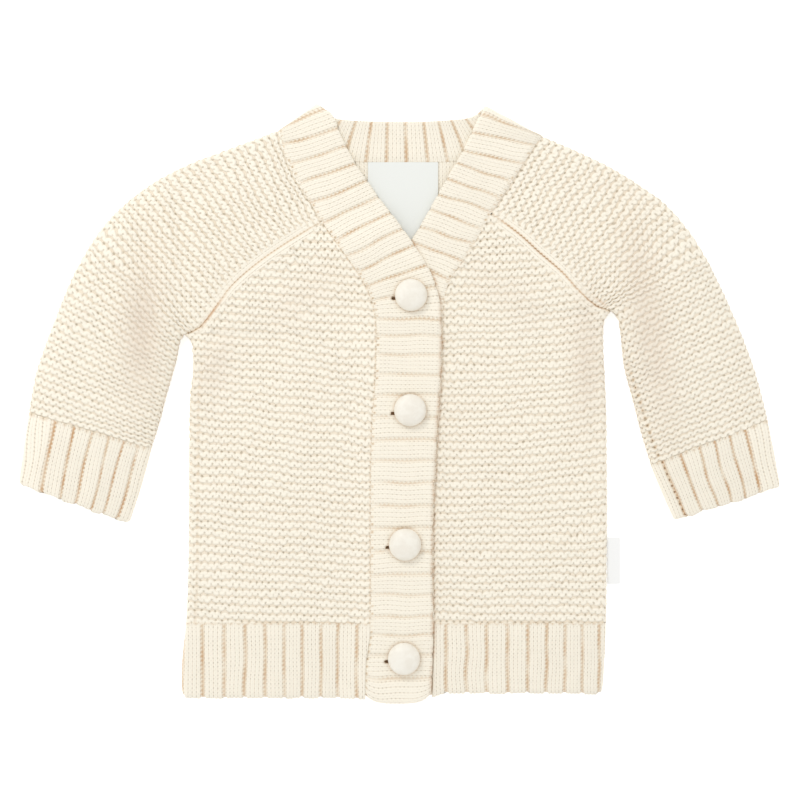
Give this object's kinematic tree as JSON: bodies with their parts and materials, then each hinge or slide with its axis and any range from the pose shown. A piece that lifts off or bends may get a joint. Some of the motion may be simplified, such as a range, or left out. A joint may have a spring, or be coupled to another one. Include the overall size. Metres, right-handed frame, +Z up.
{
  "type": "baby cardigan",
  "caption": "Knitted raglan baby cardigan with a ribbed V-neck band and domed buttons, fastened and laid flat on its back.",
  "frame": {"origin": "under the middle of the garment, on the plane that its back rests on", "axes": "+X towards the wearer's left sleeve, +Y from the hem to the neck, +Z up out of the buttoned front"},
  "size_m": [0.425, 0.3339, 0.0165],
  "materials": {
    "knit": "soft matt cotton knit, natural cream",
    "button": "smooth satin, pale ivory",
    "label": "smooth woven tape, off-white"
  },
  "bodies": {
    "root": {"back": "knit", "back_hem": "knit", "front_right": "knit", "front_left": "knit", "hem_front_right": "knit", "hem_front_left": "knit", "sleeve_right": "knit", "sleeve_left": "knit", "cuff_right": "knit", "cuff_left": "knit", "buttonhole_band": "knit", "button_band": "knit", "back_neckband": "knit", "button_1": "button", "button_2": "button", "button_3": "button", "button_4": "button", "neck_label": "label", "side_label": "label"}
  },
  "joints": []
}
